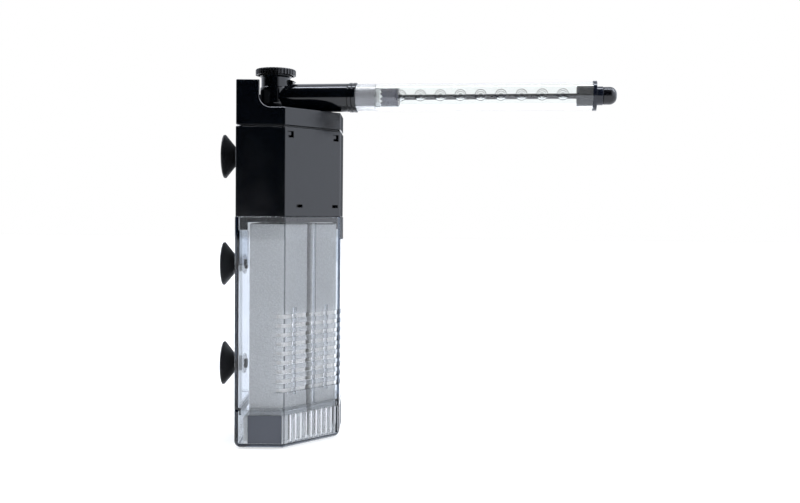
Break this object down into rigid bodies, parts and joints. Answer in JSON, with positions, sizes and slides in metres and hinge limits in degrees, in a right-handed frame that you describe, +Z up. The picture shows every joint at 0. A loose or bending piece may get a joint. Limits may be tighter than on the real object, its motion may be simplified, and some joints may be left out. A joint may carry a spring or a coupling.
{
  "type": "aquarium filter",
  "caption": "Internal corner filter: tinted clear foam canister with slotted corner, black motor head, swivelling outlet elbow with flow knob, and a clear spray bar.",
  "frame": {"origin": "centre of the square that holds the body's plan, on the flat underside", "axes": "+Z up; +X along the back tank wall, the way the spray bar points; +Y towards the back tank wall; the tank corner is at -X, +Y"},
  "size_m": [0.2321, 0.0705, 0.2246],
  "materials": {
    "clear_plastic": "clear and glossy",
    "smoke_plastic": "clear with a light grey tint",
    "filter_foam": "open-cell foam, light grey",
    "cup_rubber": "soft black rubber",
    "black_plastic": "polished black",
    "dark_plastic": "satin black",
    "seal_rubber": "black nitrile",
    "shaft_ceramic": "polished white ceramic",
    "core_steel": "laminated steel",
    "copper_wire": "enamelled copper winding",
    "potting_resin": "cast black resin",
    "magnet_ferrite": "grey ferrite in a thin sleeve",
    "white_plastic": "moulded white",
    "tan_plastic": "brown-grey, translucent",
    "milky_plastic": "milky, translucent",
    "grey_plastic": "dark grey, glossy",
    "light_grey_plastic": "mid grey, glossy"
  },
  "bodies": {
    "canister": {"intake_base": "smoke_plastic", "canister_shell": "smoke_plastic", "foam_near": "filter_foam", "foam_far": "filter_foam", "riser_tube": "clear_plastic", "lower_left_cup": "cup_rubber", "upper_left_cup": "cup_rubber", "lower_back_cup": "cup_rubber", "upper_back_cup": "cup_rubber"},
    "pump_head": {"motor_housing": "black_plastic", "pump_cover": "black_plastic", "head_left_cup": "cup_rubber", "head_back_cup": "cup_rubber", "volute_housing": "dark_plastic", "chamber_gasket": "seal_rubber", "rotor_shaft": "shaft_ceramic", "lower_bearing": "seal_rubber", "upper_bearing": "seal_rubber", "stator_core": "core_steel", "coil_near": "copper_wire", "coil_far": "copper_wire", "potting_block": "potting_resin", "cable_gland": "dark_plastic", "strain_relief": "cup_rubber"},
    "rotor": {"rotor_magnet": "magnet_ferrite", "impeller": "white_plastic"},
    "outlet": {"outlet_elbow": "black_plastic", "elbow_seal": "seal_rubber", "spray_adapter": "tan_plastic"},
    "flow_control": {"flow_knob": "dark_plastic", "throttle_vane": "dark_plastic"},
    "spray_bar": {"spray_tube": "clear_plastic", "tube_collar": "milky_plastic", "end_plug": "grey_plastic"},
    "spindle": {"flow_shuttle": "light_grey_plastic", "control_rod": "grey_plastic", "end_knob": "dark_plastic"}
  },
  "joints": [
    {"name": "head_lift", "type": "slide", "parent": "canister", "child": "pump_head", "axis": [0, 0, 1], "range_m": [0, 0.06]},
    {"name": "rotor_spin", "type": "hinge", "parent": "pump_head", "child": "rotor", "pos_m": [0.00163, -0.00163, 0.15], "axis": [0, 0, 1], "continuous": true},
    {"name": "outlet_swivel", "type": "hinge", "parent": "pump_head", "child": "outlet", "pos_m": [-0.0116, 0.0116, 0.2073], "axis": [0, 0, 1], "range_deg": [-73, 8.7]},
    {"name": "flow_turn", "type": "hinge", "parent": "outlet", "child": "flow_control", "pos_m": [-0.0116, 0.0116, 0.2073], "axis": [0, 0, 1], "range_deg": [0, 175]},
    {"name": "bar_roll", "type": "hinge", "parent": "outlet", "child": "spray_bar", "pos_m": [-0.0116, 0.0116, 0.2073], "axis": [0.9885, -0.1513, 0], "continuous": true},
    {"name": "spindle_turn", "type": "hinge", "parent": "spray_bar", "child": "spindle", "pos_m": [-0.0116, 0.0116, 0.2073], "axis": [0.9885, -0.1513, 0], "range_deg": [0, 90]}
  ]
}
